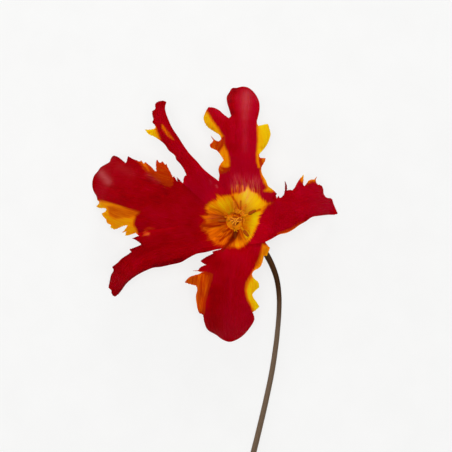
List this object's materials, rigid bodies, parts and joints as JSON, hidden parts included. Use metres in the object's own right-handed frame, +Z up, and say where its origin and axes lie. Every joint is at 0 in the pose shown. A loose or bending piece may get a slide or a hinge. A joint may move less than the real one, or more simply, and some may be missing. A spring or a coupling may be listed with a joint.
{
  "type": "parrot tulip",
  "caption": "Cut parrot tulip lying face up: wide-open red flower with fringed yellow-marked petals on a slim bent stem.",
  "frame": {"origin": "middle of the footprint, on the surface the flower lies on", "axes": "+Z up out of the open face of the flower, +Y from the cut end of the stem towards the top petal"},
  "size_m": [0.1431, 0.2403, 0.0409],
  "materials": {
    "tepal": "satin living petal, deep red with yellow markings",
    "pistil": "matte, yellow-orange",
    "filament": "matte, ochre",
    "anther": "powdery, dark brown",
    "stem": "satin, dark olive brown"
  },
  "bodies": {
    "root": {"stem": "stem", "pistil": "pistil", "tepal_top": "tepal", "tepal_upper_left": "tepal", "tepal_left": "tepal", "tepal_lower_left": "tepal", "tepal_bottom": "tepal", "tepal_right": "tepal", "filament_1": "filament", "filament_2": "filament", "filament_3": "filament", "filament_4": "filament", "filament_5": "filament", "filament_6": "filament", "anther_1": "anther", "anther_2": "anther", "anther_3": "anther", "anther_4": "anther", "anther_5": "anther", "anther_6": "anther"}
  },
  "joints": []
}
